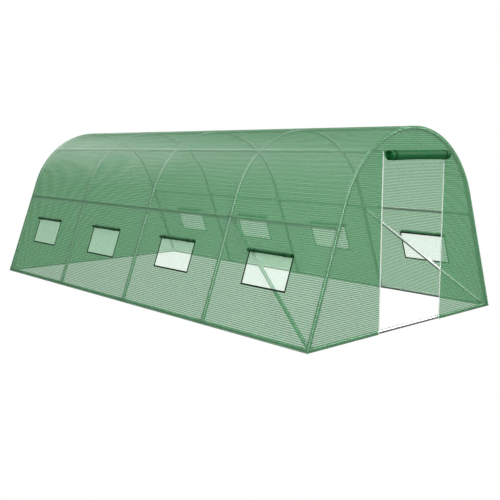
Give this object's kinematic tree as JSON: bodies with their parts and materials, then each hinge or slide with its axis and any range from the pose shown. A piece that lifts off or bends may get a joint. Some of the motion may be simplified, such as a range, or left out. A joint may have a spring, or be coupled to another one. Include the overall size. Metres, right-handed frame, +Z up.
{
  "type": "polytunnel greenhouse",
  "caption": "Walk-in arched garden greenhouse: galvanised tube hoops and purlins under a woven green cover, with net windows, rolled flaps and a rolled-up zipped door.",
  "frame": {"origin": "on the ground, at the middle of the overall box", "axes": "+Z up, +Y along the tunnel from the door end to the rear end, +X to the right as seen from the door"},
  "size_m": [3.0042, 6.1013, 2],
  "materials": {
    "galvanised_tube": "zinc-coated steel tube, satin",
    "galvanised_connector": "zinc-coated pressed steel fitting, satin",
    "green_cover": "translucent green film with a woven reinforcing grid",
    "hem_band": "doubled and stitched green film",
    "insect_net": "fine pale insect netting",
    "edge_binding": "sewn dark green binding",
    "rolled_flap": "rolled green film, several layers deep",
    "tie_strap": "woven tie",
    "white_zip": "coil zip on white tape"
  },
  "bodies": {
    "root": {"hoop_front": "galvanised_tube", "hoop_second": "galvanised_tube", "hoop_middle": "galvanised_tube", "hoop_fourth": "galvanised_tube", "hoop_rear": "galvanised_tube", "ridge_purlin": "galvanised_tube", "shoulder_purlin_right": "galvanised_tube", "shoulder_purlin_left": "galvanised_tube", "eave_purlin_right": "galvanised_tube", "eave_purlin_left": "galvanised_tube", "base_rail_right": "galvanised_tube", "base_rail_left": "galvanised_tube", "base_rail_front": "galvanised_tube", "base_rail_rear": "galvanised_tube", "brace_right": "galvanised_tube", "brace_left": "galvanised_tube", "ridge_connectors": "galvanised_connector", "shoulder_connectors": "galvanised_connector", "eave_connectors": "galvanised_connector", "base_connectors": "galvanised_connector", "cover_side_right": "green_cover", "cover_side_left": "green_cover", "cover_roof_right_lower": "green_cover", "cover_roof_right_upper": "green_cover", "cover_roof_left_upper": "green_cover", "cover_roof_left_lower": "green_cover", "gable_front_left": "green_cover", "gable_front_right": "green_cover", "gable_front_top": "green_cover", "gable_rear": "green_cover", "ground_hem": "hem_band", "window_nets_right": "insect_net", "window_nets_left": "insect_net", "window_borders_right": "edge_binding", "window_borders_left": "edge_binding", "window_rolls_right": "rolled_flap", "window_rolls_left": "rolled_flap", "door_roll": "rolled_flap", "window_straps": "tie_strap", "door_roll_straps": "tie_strap", "door_zip_right": "white_zip", "door_zip_left": "white_zip"}
  },
  "joints": []
}
